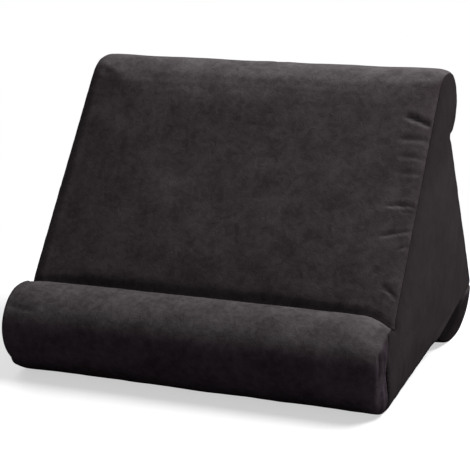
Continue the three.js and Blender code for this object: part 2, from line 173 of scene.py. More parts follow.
bm = bmesh.new()
bmesh.ops.create_grid(bm, x_segments=8, y_segments=8, size=FLOOR_SIZE / 2)
floor_mesh = bpy.data.meshes.new("studio_floor")
bm.to_mesh(floor_mesh)
bm.free()
floor = bpy.data.objects.new("studio_floor", floor_mesh)
floor.data.materials.append(floor_material)
scene.collection.objects.link(floor)
floor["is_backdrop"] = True

world = bpy.data.worlds.new("white_surround")
world.use_nodes = True
tree = world.node_tree
tree.nodes.clear()
strength = add(tree, "ShaderNodeMapRange", {
    "Value": seen_as_background(tree), "To Min": SURROUND, "To Max": 1.0,
})
sky = add(tree, "ShaderNodeBackground", {
    "Color": linear(0xFFFFFF), "Strength": strength.outputs["Result"],
})
add(tree, "ShaderNodeOutputWorld", {"Surface": sky.outputs[0]})
scene.world = world

SOFTBOXES = {
    # name: (place, size in metres, watts)
    "overhead_softbox": ((0.62, 0.2, 0.9), 0.75, 21),
    "rear_fill": ((-1.0, 0.9, 0.6), 0.9, 14),
}
for name, (spot, size, watts) in SOFTBOXES.items():
    lamp = bpy.data.lights.new(name, "AREA")
    lamp.shape = "DISK"
    lamp.size = size
    lamp.energy = watts
    softbox = bpy.data.objects.new(name, lamp)
    softbox.location = spot
    aim = LIGHT_TARGET - Vector(spot)
    softbox.rotation_euler = aim.to_track_quat("-Z", "Y").to_euler()
    scene.collection.objects.link(softbox)
scene.view_settings.view_transform = "Standard"
print("stage: floor, surround and", len(SOFTBOXES), "softboxes")

# %% [markdown]
# ## The section of the cushion
# Seen from the side the cushion is a pinwheel. Three flat faces each run on into a roll, and each
# roll stands out past the next face as a lip. A pattern cutter would draw exactly this section, so
# the mesh is lofted from it. Angles and radii are the CAD model's own, in millimetres, with
# the middle of the front ledge at y = 0.

# %% Draw the section
WIDTH = 283
HEIGHT = 216
FACE_TILT, BACK_TILT, BASE_TILT = radians(53.3), radians(56.7), radians(4.5)
STAND_FLAT = 0.5
LEDGE_RADIUS, LEDGE_LIP = 32.5, 23.5
TOP_RADIUS, TOP_LIP = 27.5, 33
REAR_DEPTH, REAR_HEIGHT = 55, 28
# How far each edge is drawn in at the left (-1) and right (1) seam, and over what distance
EDGE_ROUND = 10
LEDGE_TOP_ROUND, LEDGE_TOP_DRAW = 22, {-1: 1.5, 0: 0, 1: 7}
LEDGE_FRONT_ROUND, LEDGE_FRONT_DRAW = 4, 6
LEDGE_BOTTOM_DRAW = {-1: 3.5, 0: 0, 1: 1.5}
REAR_DRAW = {-1: 2, 0: 0, 1: 0.5}
TOP_DRAW = {-1: 5, 0: 0, 1: 3}
RIM_DRAW, RIM_REACH = 3.2, 25

FACE_NORMAL = np.array([-sin(FACE_TILT), cos(FACE_TILT)])
BACK_NORMAL = np.array([sin(BACK_TILT), cos(BACK_TILT)])
BASE_NORMAL = np.array([sin(BASE_TILT), -cos(BASE_TILT)])


class Roll:
    """An oval roll in the side view: its middle, half depth and half height."""

    def __init__(self, y, z, depth, rise):
        self.y, self.z, self.depth, self.rise = y, z, depth, rise

    def shrunk(self, by):
        """The same roll, smaller all round."""
        return Roll(self.y, self.z, self.depth - by, self.rise - by)

    def at(self, angle):
        """Points of the oval at angles about its middle."""
        y = self.y + self.depth * np.cos(angle)
        z = self.z + self.rise * np.sin(angle)
        return np.stack([y, z], -1)

    def offset(self, normal):
        """How far out the middle lies along a normal."""
        return self.y * normal[0] + self.z * normal[1]

    def half_span(self, normal):
        """Half the oval's extent along a normal."""
        return hypot(self.depth * normal[0], self.rise * normal[1])

    def reach(self, normal):
        """How far out the oval reaches along a normal."""
        return self.offset(normal) + self.half_span(normal)

    def touch(self, normal):
        """The angle at which a face with this normal touches the oval."""
        return atan2(self.rise * normal[1], self.depth * normal[0])

    def leave(self, normal, distance):
        """The angle at which the oval meets a face at that distance, going clockwise."""
        share = (distance - self.offset(normal)) / self.half_span(normal)
        return self.touch(normal) - acos(share)


ledge_roll = Roll(0, LEDGE_RADIUS - STAND_FLAT, LEDGE_RADIUS, LEDGE_RADIUS)
face_distance = ledge_roll.reach(FACE_NORMAL) - LEDGE_LIP
top_z = HEIGHT - TOP_RADIUS
top_y = (face_distance - TOP_RADIUS - top_z * FACE_NORMAL[1]) / FACE_NORMAL[0]
top_roll = Roll(top_y, top_z, TOP_RADIUS, TOP_RADIUS)
back_distance = top_roll.reach(BACK_NORMAL) - TOP_LIP
rear_z = REAR_HEIGHT - STAND_FLAT
rear_reach = Roll(0, rear_z, REAR_DEPTH, REAR_HEIGHT).reach(BACK_NORMAL)
rear_y = (back_distance - rear_reach) / BACK_NORMAL[0]
rear_roll = Roll(rear_y, rear_z, REAR_DEPTH, REAR_HEIGHT)
FOOTPRINT_MIDDLE = (rear_y + REAR_DEPTH - LEDGE_RADIUS) / 2


def draw_in(distance, stretch, power=2):
    """Share of a draw-in at a distance from the side seam."""
    return max(0.0, 1 - distance / stretch) ** power


def rolls_at(distance, side):
    """The three rolls at a distance from the left (-1) or right (1) side seam."""
    front = -LEDGE_RADIUS + LEDGE_FRONT_DRAW * draw_in(distance, LEDGE_FRONT_ROUND, 3)
    top = 2 * LEDGE_RADIUS - STAND_FLAT - LEDGE_TOP_DRAW[side] * draw_in(distance, LEDGE_TOP_ROUND)
    bottom = -STAND_FLAT + LEDGE_BOTTOM_DRAW[side] * draw_in(distance, EDGE_ROUND)
    radius = (top - bottom) / 2
    draw = draw_in(distance, EDGE_ROUND)
    return {
        "ledge": Roll(front + radius, bottom + radius, radius, radius),
        "top": top_roll.shrunk(TOP_DRAW[side] * draw),
        "rear": rear_roll.shrunk(REAR_DRAW[side] * draw),
    }


# Each panel: the roll before it, its face, its own roll, and the face and roll after it
PANELS = {
    "backrest_panel": ("ledge", FACE_NORMAL, "top", BACK_NORMAL, "rear"),
    "rear_panel": ("top", BACK_NORMAL, "rear", BASE_NORMAL, "ledge"),
    "base_panel": ("rear", BASE_NORMAL, "ledge", FACE_NORMAL, "top"),
}
ZIP_SLOT_END = 17.9  # from the crease down the rear face
STEP = 1.9  # between the points of the mesh


def panel_row(panel, distance, side, slot_steps, face_steps, arc_steps):
    """Points of one panel's section: the zip's strip, the rest of the face, and round the roll."""
    before, normal, own, next_normal, after = PANELS[panel]
    rolls = rolls_at(distance, side)
    own, before, after = rolls[own], rolls[before], rolls[after]
    start = before.at(before.leave(normal, own.reach(normal)))
    first = own.touch(normal)
    last = own.leave(next_normal, after.reach(next_normal))
    arc = own.at(first - (first - last) % (2 * pi) * np.linspace(0, 1, arc_steps + 1))
    along = arc[0] - start
    length = np.linalg.norm(along)
    strip = np.linspace(0, ZIP_SLOT_END, slot_steps, endpoint=False)
    rest = np.linspace(ZIP_SLOT_END if slot_steps else 0, length, face_steps, endpoint=False)
    face = start + np.concatenate([strip, rest])[:, None] * along / length
    return np.vstack([face, arc])


# The seam across the end of the rear roll, and how the fabric below it is tucked in
REAR_LAP_FRONT, REAR_LAP_RISE, REAR_LAP_TILT = 113, 13, radians(8.5)
TUCK_STEP, TUCK_EDGE, TUCK_HEIGHT, TUCK_REACH = 3.5, 4, 20, 40
TUCK_RISE, TUCK_REAR, TUCK_FADE = 15, 225, 50
TUCK_EASE = 0.9  # share of the tuck that is gone at its foot


def across(x, points):
    """Places across the width, drawn in near the seams along the viewing face and the base."""
    face = np.abs(face_distance - points @ FACE_NORMAL)
    base = np.abs(ledge_roll.reach(BASE_NORMAL) - points @ BASE_NORMAL)
    base = base + np.maximum(points[..., 0] - REAR_LAP_FRONT, 0)
    near = np.clip(1 - np.minimum(face, base) / RIM_REACH, 0, 1)
    return x * (1 - 2 * RIM_DRAW / WIDTH * near ** 2)


def below_rear_lap(points):
    """How far points of the section lie below the seam across the end of the rear roll."""
    away = points[..., 0] - REAR_LAP_FRONT
    line = REAR_LAP_RISE + np.tan(REAR_LAP_TILT) * away
    return np.where(away > 0, (line - points[..., 1]) * cos(REAR_LAP_TILT), -1)


def tucked(points, distance):
    """How far the rear roll's end is tucked in below its seam, at a distance from the side seam."""
    below = below_rear_lap(points)
    step = np.clip(below / TUCK_EDGE, 0, 1)
    fade = 1 - TUCK_EASE * np.clip(below / TUCK_HEIGHT, 0, 1)
    fade = fade * np.clip((TUCK_REAR - points[..., 0]) / TUCK_FADE, 0, 1)
    fade = fade * np.clip((points[..., 0] - REAR_LAP_FRONT) / TUCK_RISE, 0, 1)
    inward = np.clip(1 - distance / TUCK_REACH, 0, 1) ** 2
    return TUCK_STEP * step * step * (3 - 2 * step) * fade * inward


# Stations across the width, by distance from the side seam: close together at the ends
ZIP_HALF = 122
ZIP_MARGIN = WIDTH / 2 - ZIP_HALF
end_stations = np.array([0, 0.4, 0.9, 1.5, 2.2, 3.0, 3.9, 4.9, 6.0, 7.4, 9.0])
margin_stations = np.linspace(end_stations[-1], ZIP_MARGIN, 6)[1:]
inner_stations = np.arange(ZIP_MARGIN, WIDTH / 2, STEP)[1:]
half_stations = np.concatenate([end_stations, margin_stations, inner_stations])
distances = np.concatenate([half_stations, [WIDTH / 2], half_stations[::-1]])
sides = np.concatenate([np.full(len(half_stations), -1), [0], np.full(len(half_stations), 1)])


FINE_STEPS = 400


def panel_grid(panel, slot_steps):
    """A panel's outer surface as an array of points, station by station, in millimetres."""
    full = panel_row(panel, WIDTH / 2, 0, 0, 1, FINE_STEPS)
    face_steps = round(np.linalg.norm(full[1] - full[0]) / STEP)
    arc_steps = round(np.linalg.norm(np.diff(full[1:], axis=0), axis=1).sum() / STEP)
    steps = slot_steps, face_steps, arc_steps
    rows = np.array([panel_row(panel, d, side, *steps) for d, side in zip(distances, sides)])
    x = across((sides * (WIDTH / 2 - distances))[:, None], rows)
    x -= sides[:, None] * tucked(rows, distances[:, None])
    return np.concatenate([x[..., None], rows], axis=-1)


SLOT_STEPS = 9
grids = {name: panel_grid(name, SLOT_STEPS if name == "rear_panel" else 0) for name in PANELS}
for name, grid in grids.items():
    print("section:", name, grid.shape[0], "stations of", grid.shape[1], "points")

# %% [markdown]
# ## The sides
# The side of the cushion is a flat piece of velour sewn inside the rim of the three wraps. At the
# front the ledge's own fabric laps round the end of its roll, and at the rear the rear roll's
# fabric does the same, so the side panel stops short at two straight seams. Each region is filled
# with triangles by a constrained Delaunay mesh, which copes with any outline, and then crowned.

# %% Cut the sides into side panel and laps
LEDGE_LAP = -6
SIDE_CROWN, CROWN_RIM = 1.0, 8
ROW_SHARE = 0.87  # rows of an even triangle lattice, in steps
EDGE_CLEAR = 0.6  # steps left free inside the outline


def distance_to_line(points, line):
    """Distance from each point to the nearest segment of a closed line of points."""
    nearest = np.full(len(points), np.inf)
    for a, b in zip(line, np.roll(line, -1, axis=0)):
        way = b - a
        t = np.clip((points - a) @ way / max(way @ way, 1e-12), 0, 1)
        nearest = np.minimum(nearest, np.linalg.norm(points - a - t[:, None] * way, axis=1))
    return nearest


def fill_region(loop, step=STEP):
    """Points and triangles that fill a closed outline, about one step apart."""
    low, high = loop.min(0), loop.max(0)
    ys = np.arange(low[0], high[0], step)
    zs = np.arange(low[1], high[1], step * ROW_SHARE)
    lattice = np.array([(y + (k % 2) * step / 2, z) for k, z in enumerate(zs) for y in ys])
    lattice = lattice[distance_to_line(lattice, loop) > step * EDGE_CLEAR]
    points = [Vector(p) for p in np.vstack([loop, lattice])]
    edges = [(i, (i + 1) % len(loop)) for i in range(len(loop))]
    made = geometry.delaunay_2d_cdt(points, edges, [], 1, 1e-6)
    return np.array([tuple(v) for v in made[0]]), [tuple(f) for f in made[2]]


class End:
    """One end of the cushion: its outline in the side view, its lap seams and its regions."""

    def __init__(self, side):
        self.side = side
        backrest, rear, base = [grids[name][0 if side < 0 else -1, :-1, 1:] for name in PANELS]
        self.outline = np.vstack([backrest, rear, base])
        self.base_start = len(backrest) + len(rear)
        r0 = len(backrest) + np.flatnonzero(below_rear_lap(rear) > 0)[0]
        r1 = self.base_start + np.flatnonzero(base[:, 0] < REAR_LAP_FRONT)[0]
        l0, l1 = self.base_start + np.flatnonzero(base[:, 0] < LEDGE_LAP)[[0, -1]]
        self.rear_lap, self.ledge_lap = (r0, r1), (l0, l1)
        rear_seam, ledge_seam = self.seam(r0, r1), self.seam(l0, l1)
        line = self.outline
        self.regions = {
            "rear_lap": fill_region(np.vstack([line[r0:r1 + 1], rear_seam[::-1]])),
            "ledge_lap": fill_region(np.vstack([line[l0:l1 + 1], ledge_seam[::-1]]), STEP / 2),
            "side": fill_region(np.vstack([
                line[:r0 + 1], rear_seam, line[r1:l0 + 1], ledge_seam, line[l1:],
            ])),
        }

    def seam(self, a, b):
        """Evenly spaced points on the straight seam between two outline points, ends left out."""
        way = self.outline[b] - self.outline[a]
        count = max(2, round(np.linalg.norm(way) / STEP))
        return self.outline[a] + np.linspace(0, 1, count + 1)[1:-1, None] * way

    def place(self, flat):
        """Where points of the side view lie on this end, crowned and tucked."""
        share = np.clip(distance_to_line(flat, self.outline) / CROWN_RIM, 0, 1)
        rise = SIDE_CROWN * (1 - (1 - share) ** 2) - tucked(flat, 0)
        return np.column_stack([across(self.side * WIDTH / 2, flat) + self.side * rise, flat])

    def sheet(self, region):
        """One region of this end, with its triangles facing out."""
        flat, triangles = self.regions[region]
        return self.place(flat), [t[::-1] if self.side < 0 else t for t in triangles]


ends = [End(-1), End(1)]
for end in ends:
    print("sides:", {name: len(mesh[1]) for name, mesh in end.regions.items()}, "triangles")

# %% [markdown]
# ## The five pieces of the cover
# Each wrap is the grid of its section; the rear and base wraps also get their two laps, welded
# along the rim. The rear wrap has a slot under the top roll where the zip is set in. So far the
# pieces are just the pattern's stuffed shape; the sewing comes next.


# %% Make the flat-sewn pieces
def grid_faces(stations, points, skip):
    """Quads over a grid, facing out, without those that skip(i, j) names."""
    return [
        (i * points + j, (i + 1) * points + j, (i + 1) * points + j + 1, i * points + j + 1)
        for i in range(stations - 1) for j in range(points - 1) if not skip(i, j)
    ]


def in_zip_slot(i, j):
    """Whether a quad of the rear wrap's grid lies in the zip's slot."""
    return j < SLOT_STEPS and min(distances[i], distances[i + 1]) >= ZIP_MARGIN - 0.01


def weld(parts):
    """One mesh from several lists of points and faces, in metres and in the part's frame."""
    bm = bmesh.new()
    for points, faces in parts:
        made = [bm.verts.new((x * MM, (y - FOOTPRINT_MIDDLE) * MM, z * MM)) for x, y, z in points]
        for face in faces:
            bm.faces.new([made[i] for i in face])
    bmesh.ops.remove_doubles(bm, verts=bm.verts, dist=0.01 * MM)
    bmesh.ops.delete(bm, geom=[v for v in bm.verts if not v.link_faces], context="VERTS")
    mesh = bpy.data.meshes.new("sewn")
    bm.to_mesh(mesh)
    bm.free()
    return mesh


LAPS = {"rear_panel": "rear_lap", "base_panel": "ledge_lap"}
meshes = {}
for name, grid in grids.items():
    skip = in_zip_slot if name == "rear_panel" else (lambda i, j: False)
    parts = [(grid.reshape(-1, 3), grid_faces(*grid.shape[:2], skip))]
    if name in LAPS:
        parts += [end.sheet(LAPS[name]) for end in ends]
    meshes[name] = weld(parts)
for name, end in zip(("side_panel_left", "side_panel_right"), ends):
    meshes[name] = weld([end.sheet("side")])
for name, mesh in meshes.items():
    print("cover:", name, len(mesh.vertices), "points")

# %% [markdown]
# ## Swell the cover by a cloth simulation
# A stuffed cover is drawn tight at its seams and swells between them. To get that swell, the five
# pieces are joined into one closed skin, remeshed evenly, held along every seam and crease, and
# blown up a little with Blender's cloth solver. Only the movement is kept: it is read back onto
# the fine panels, which keep their sharp seams.


# %% Find the seams and creases
def tree_of(points):
    """A search tree over points."""
    tree = kdtree.KDTree(len(points))
    for i, point in enumerate(points):
        tree.insert(point, i)
    tree.balance()
    return tree


class Seam:
    """A line of stitches, the way the fabric dives in, how it dips, and the painted shade along it.
    """

    def __init__(self, points, dive, depth, width, press, reach):
        self.dive, self.depth, self.width = dive, depth, width
        self.press, self.reach = press, reach
        steps = np.linalg.norm(np.diff(points, axis=0), axis=1)
        self.run = np.concatenate([[0], np.cumsum(steps)])
        self.tree = tree_of(points)

    def nearest(self, points):
        """For each point, the nearest stitch and how far off it is."""
        found = [self.tree.find(p) for p in points]
        return np.array([i for _, i, _ in found]), np.array([gap for _, _, gap in found])


def unit(vectors):
    """Vectors scaled to length 1."""
    return vectors / np.linalg.norm(vectors, axis=1)[:, None]


def turned_in(line):
    """Unit directions into the cushion along a closed outline."""
    way = np.roll(line, -1, axis=0) - np.roll(line, 1, axis=0)
    return unit(np.column_stack([way[:, 1], -way[:, 0]]))


# Depth and width of the dip, then the strength and reach of a painted shade along the stitches
SIDE_DIP = 0.4, 2.4, 0.42, 6.0
LAP_DIP = 1.6, 3.6, 1.0, 1.3
CREASE_DIP = 2.6, 6.5, 1.0, 1.3
DIAGONAL = 0.7  # a side seam dives equally in from the side and in from the wrap
seams = []
for end in ends:
    index = np.arange(len(end.outline))
    (r0, _), (l0, l1) = end.rear_lap, end.ledge_lap
    sewn = ~((r0 < index) & (index < end.base_start) | (l0 < index) & (index < l1))
    inward = np.full(len(index), -end.side)
    dive = np.column_stack([inward, turned_in(end.outline)]) * DIAGONAL
    seams.append(Seam(end.place(end.outline)[sewn], dive[sewn], *SIDE_DIP))
    for lap in (end.rear_lap, end.ledge_lap):
        line = end.place(end.seam(*lap))
        seams.append(Seam(line, np.tile([-end.side, 0.0, 0.0], (len(line), 1)), *LAP_DIP))
for before, after in zip(("base_panel", "backrest_panel", "rear_panel"), PANELS):
    crease = grids[after][:, 0]
    bisector = unit(grids[after][:, 1] - crease)
    bisector = bisector + unit(grids[before][:, -2] - grids[before][:, -1])
    seams.append(Seam(crease, -unit(bisector), *CREASE_DIP))
print("seams:", len(seams))


# %% Simulate the swell
def points_of(mesh):
    """A mesh's points in millimetres, from the middle of the ledge."""
    flat = np.empty(len(mesh.vertices) * 3)
    mesh.vertices.foreach_get("co", flat)
    return flat.reshape(-1, 3) / MM + [0, FOOTPRINT_MIDDLE, 0]


def to_part(points):
    """Such points in metres, in the part's own frame."""
    return (points - [0, FOOTPRINT_MIDDLE, 0]) * MM


SKIN_VOXEL = 5
SKIN_WELD = 0.05
HELD_NEAR = 5  # millimetres from a seam
FLOOR_HELD = 2  # millimetres above the table
PRESSURE = 4.0
CLOTH_QUALITY = 6
FRAMES = 20
MOST_SWELL = 4.0
SWELL_NEIGHBOURS = 5


def closed_skin():
    """The five pieces as one closed, evenly meshed skin."""
    whole = bmesh.new()
    for mesh in meshes.values():
        whole.from_mesh(mesh)
    rear = grids["rear_panel"]
    slot = grid_faces(*rear.shape[:2], lambda i, j: not in_zip_slot(i, j))
    whole.from_mesh(weld([(rear.reshape(-1, 3), slot)]))
    bmesh.ops.remove_doubles(whole, verts=whole.verts, dist=SKIN_WELD * MM)
    mesh = bpy.data.meshes.new("skin")
    whole.to_mesh(mesh)
    whole.free()
    skin = bpy.data.objects.new("skin", mesh)
    scene.collection.objects.link(skin)
    remesh = skin.modifiers.new("even", "REMESH")
    remesh.mode = "VOXEL"
    remesh.voxel_size = SKIN_VOXEL * MM
    graph = bpy.context.evaluated_depsgraph_get()
    even = bpy.data.meshes.new_from_object(skin.evaluated_get(graph))
    skin.modifiers.clear()
    skin.data = even
    return skin


def swell():
    """Rest points of the skin, in millimetres, and how far each one moves as the cover swells."""
    skin = closed_skin()
    rest = points_of(skin.data)
    held = skin.vertex_groups.new(name="sewn")
    for i, spot in enumerate(rest):
        if spot[2] < FLOOR_HELD or min(seam.tree.find(spot)[2] for seam in seams) < HELD_NEAR:
            held.add([i], 1.0, "REPLACE")
    cloth = skin.modifiers.new("swell", "CLOTH")
    cloth.settings.vertex_group_mass = "sewn"
    cloth.settings.use_pressure = True
    cloth.settings.uniform_pressure_force = PRESSURE
    cloth.settings.effector_weights.gravity = 0
    cloth.settings.quality = CLOTH_QUALITY
    cloth.point_cache.frame_start = 1
    cloth.point_cache.frame_end = FRAMES
    for step in range(1, FRAMES + 1):
        scene.frame_set(step)
    graph = bpy.context.evaluated_depsgraph_get()
    moved = points_of(skin.evaluated_get(graph).to_mesh())
    scene.frame_set(1)
    bpy.data.objects.remove(skin)
    move = moved - rest
    size = np.linalg.norm(move, axis=1)
    move *= np.minimum(1, MOST_SWELL / np.maximum(size, 1e-9))[:, None]
    print("swell:", len(rest), "points, mean", round(size.mean(), 2), "mm")
    return rest, move


swell_tree = None
swell_rest, swell_move = swell()
swell_tree = tree_of(swell_rest)


def swell_at(points):
    """The skin's movement at each point, from the nearest points of the simulated skin."""
    if swell_tree is None:
        return np.zeros_like(points)
    moves = np.empty_like(points)
    for k, point in enumerate(points):
        near = swell_tree.find_n(point, SWELL_NEIGHBOURS)
        weights = np.array([1 / (gap * gap + 1) for _, _, gap in near])
        moves[k] = weights @ swell_move[[i for _, i, _ in near]] / weights.sum()
    return moves


# %% [markdown]
# ## Seams, puckers and wrinkles
# Sewing pulls the fabric down into each seam and crease, and leaves small puckers along it. Where
# the ledge's end is gathered in, two short pleats stand beside the seam, and the right-hand strip
# of the backrest has slack wrinkles that run across to its seam. These are all geometry, so they
# show in profile as well as in the shading. Each point also keeps a painted shade: darker along the
# seams, in furrows, below the rear roll's seam and at the ledge's end, where shade falls, lighter
# on ridges, and on the sides darker towards the top roll.

# %% Define the wrinkles
# Each wrinkle: start and end as (x, y, z) from the middle of the ledge, depth and half width;
# a depth below nought makes a ridge
BACKREST_WRINKLES = [
    ((119.6, 103.2, 185.6), (137.6, 100.0, 181.0), 1.4, 2.8),
    ((118.6, 92.3, 171.2), (138.6, 92.8, 171.9), 0.7, 3.2),
    ((120.6, 84.2, 160.2), (138.6, 84.0, 160.1), 0.5, 2.8),
    ((122.6, 76.6, 150.1), (138.6, 76.5, 150.0), 0.4, 2.6),
    ((118.6, 61.3, 129.2), (138.6, 61.6, 130.0), 1.0, 1.6),
    ((130.6, 58.8, 126.2), (139.6, 59.0, 126.5), 0.6, 1.6),
    ((117.6, 46.5, 110.0), (139.6, 50.8, 115.6), 0.8, 1.8),
    ((132.6, 42.1, 103.6), (139.6, 44.5, 106.9), 0.7, 1.6),
    ((126.6, 24.8, 80.6), (138.6, 20.0, 74.2), 0.9, 1.7),
]
LEDGE_FOLDS = [
    ((140.1, -26.0, 48.0), (141.2, -29.0, 32.0), 1.3, 1.7),
    ((142.6, -9.5, 47.0), (142.6, -9.5, 26.0), 1.3, 1.8),
    ((142.0, -18.0, 47.0), (142.4, -18.0, 9.0), -0.8, 2.8),
    ((-137.4, -24.0, 52.6), (-115.4, -26.5, 51.2), 0.5, 2.6),
]
SIDE_FOLDS = [
    ((142.6, 116.0, 15.5), (142.6, 160.0, 22.6), -0.7, 2.2),
    ((143.1, 24.0, 33.0), (142.6, 28.0, 15.0), -0.4, 2.2),
    ((143.1, 15.0, 30.0), (142.6, 18.0, 12.0), -0.3, 2.2),
]
WRINKLE_LIFT = 6  # farther off the surface than this, a line belongs to another one
WRINKLE_END, WRINKLE_SLOPE = 0.6, 4  # share of the depth at its ends, and how soon it is whole
RIDGE_SHARE = 0.9


def wrinkle(points, normals, start, end, depth, half_width):
    """A furrow between two low ridges along a straight line on the surface, fading at its ends."""
    start, end = np.array(start, float), np.array(end, float)
    way = end - start
    length = np.linalg.norm(way)
    t = (points - start) @ way / length ** 2
    offset = points - start - np.clip(t, 0, 1)[:, None] * way
    lift = (offset * normals).sum(1)
    away = np.linalg.norm(offset - lift[:, None] * normals, axis=1) / half_width
    fade = np.clip(np.minimum(t, 1 - t) * WRINKLE_SLOPE + WRINKLE_END, 0, 1)
    fade = fade * (np.abs(lift) < WRINKLE_LIFT)
    return -depth * fade * (1 - RIDGE_SHARE * away ** 2) * np.exp(-away ** 2)


def rough(points, size, seed):
    """Smooth noise from -1 to 1 with lumps of about that size in millimetres."""
    shift = Vector((seed * 7.3, seed * 3.1, seed * 5.7))
    return np.array([noise.noise(Vector(p) / size + shift) for p in points])


PUCKER_SPACING = 6.5
PUCKER_HEIGHT = 0.2
PUCKER_REACH = 9
# Lumps and ripples of the filling: size, height and the distance from a seam where they are whole
LUMP_SIZE, LUMP_HEIGHT, LUMP_CLEAR = 38, 0.7, 20
RIPPLE_SIZE, RIPPLE_HEIGHT, RIPPLE_CLEAR = 12, 0.16, 8
# How strong the painted shade is: in a furrow, where a ridge is painted lighter instead, in the
# tuck below the rear roll's seam, and at the ledge's gathered end
FOLD_PAINTED_SHADE, FOLD_LEAST, FOLD_MOST = 0.9, -0.6, 1.2
TUCK_PAINTED_SHADE = 4
GATHER_PAINTED_SHADE, GATHER_REACH = 0.6, 4
# The sides are painted darker towards the top roll: how much, from what height, over how far
ROLL_END_DARKENING, ROLL_END_FROM, ROLL_END_FADE = 0.5, 135, 50
MOST_PAINTED_SHADE = 1.8
FLOOR_GAP = 0.05


def sew(mesh, wrinkles, end_press):
    """Moves a piece's points for swell, seams, lumps and wrinkles, and stores its painted shade."""
    points = points_of(mesh)
    normals = np.array([tuple(v.normal) for v in mesh.vertices])
    moved = points + swell_at(points)
    height = np.zeros(len(points))
    gap = np.full(len(points), np.inf)
    pressed = np.zeros(len(points))
    for k, seam in enumerate(seams):
        spot, away = seam.nearest(points)
        dip = np.clip(1 - (away / seam.width) ** 2, 0, 1) ** 2
        moved += seam.dive[spot] * (seam.depth * dip)[:, None]
        gather = np.array([noise.noise((r / PUCKER_SPACING, k, 0.5)) for r in seam.run[spot]])
        height += PUCKER_HEIGHT * gather * np.exp(-away / PUCKER_REACH) * (1 - dip)
        gap = np.minimum(gap, away)
        # Painted shade along the seam
        pressed = np.maximum(pressed, seam.press * np.exp(-(away / seam.reach) ** 2))
    height += LUMP_HEIGHT * rough(points, LUMP_SIZE, 1) * np.clip(gap / LUMP_CLEAR, 0, 1)
    height += RIPPLE_HEIGHT * rough(points, RIPPLE_SIZE, 2) * np.clip(gap / RIPPLE_CLEAR, 0, 1)
    folds = sum((wrinkle(points, normals, *line) for line in wrinkles), np.zeros(len(points)))
    height += folds
    from_end = np.maximum(WIDTH / 2 - np.abs(points[:, 0]), 0)
    gathered = np.clip(1 - from_end / GATHER_REACH, 0, 1) * (points[:, 1] < LEDGE_LAP)
    # Painted shade in furrows and painted light on ridges, painted shadow in the tuck below the
    # rear roll's seam, and painted shade at the ledge's gathered end
    pressed += np.clip(-FOLD_PAINTED_SHADE * folds, FOLD_LEAST, FOLD_MOST)
    pressed += TUCK_PAINTED_SHADE * tucked(points[:, 1:], from_end) / TUCK_STEP
    pressed += GATHER_PAINTED_SHADE * gathered
    # The sides painted darker towards the top roll
    pressed += end_press * np.clip((points[:, 2] - ROLL_END_FROM) / ROLL_END_FADE, 0, 1)
    # Kept as a point attribute that darkens the velour's colour: painted shade
    shade = mesh.attributes.new("pressed", "FLOAT", "POINT")
    shade.data.foreach_set("value", np.clip(pressed, 0, MOST_PAINTED_SHADE))
    moved += normals * height[:, None]
    moved[:, 2] = np.maximum(moved[:, 2], FLOOR_GAP)
    mesh.vertices.foreach_set("co", to_part(moved).ravel())
    mesh.update()


WRINKLES = {
    "backrest_panel": BACKREST_WRINKLES,
    "base_panel": LEDGE_FOLDS,
    "side_panel_right": SIDE_FOLDS,
}
for name, mesh in meshes.items():
    sew(mesh, WRINKLES.get(name, []), ROLL_END_DARKENING if name.startswith("side") else 0)
    print("sewn:", name)

# %% [markdown]
# ## Velour
# The cover is a warp-knit polyester velour: a knitted ground with a short brushed pile. The cloth
# is nearly black, its pile is crushed about in patches, and it has a soft sheen at grazing angles.
# Light and shade are also painted into its colour: surfaces that lean down are painted darker and
# those that face up lighter, as light from above falls, and seams, furrows and the tuck below the
# rear roll's seam get a painted shade. The pile itself is too fine to show here, so its crushed
# patches are drawn some millimetres wide and the fuzz as a coarse grain.

# %% Make the velour
BROAD_PATCHES = 4  # times the size of the small patches
FUZZ_MM = 1.1  # real pile is about 0.1 mm thick
FUZZ_SHARE = 0.35
MOTTLE_LOW, MOTTLE_HIGH = 0.85, 1.5  # sums of the noises that give the dark and the light colour
# The near black that the painted shade darkens the velour towards, and how far per unit of it
PAINTED_SHADE_COLOUR, PAINTED_SHADE_SHARE = 0x0C0A0B, 0.5
SHEEN_TINT = 0xB9AEB0


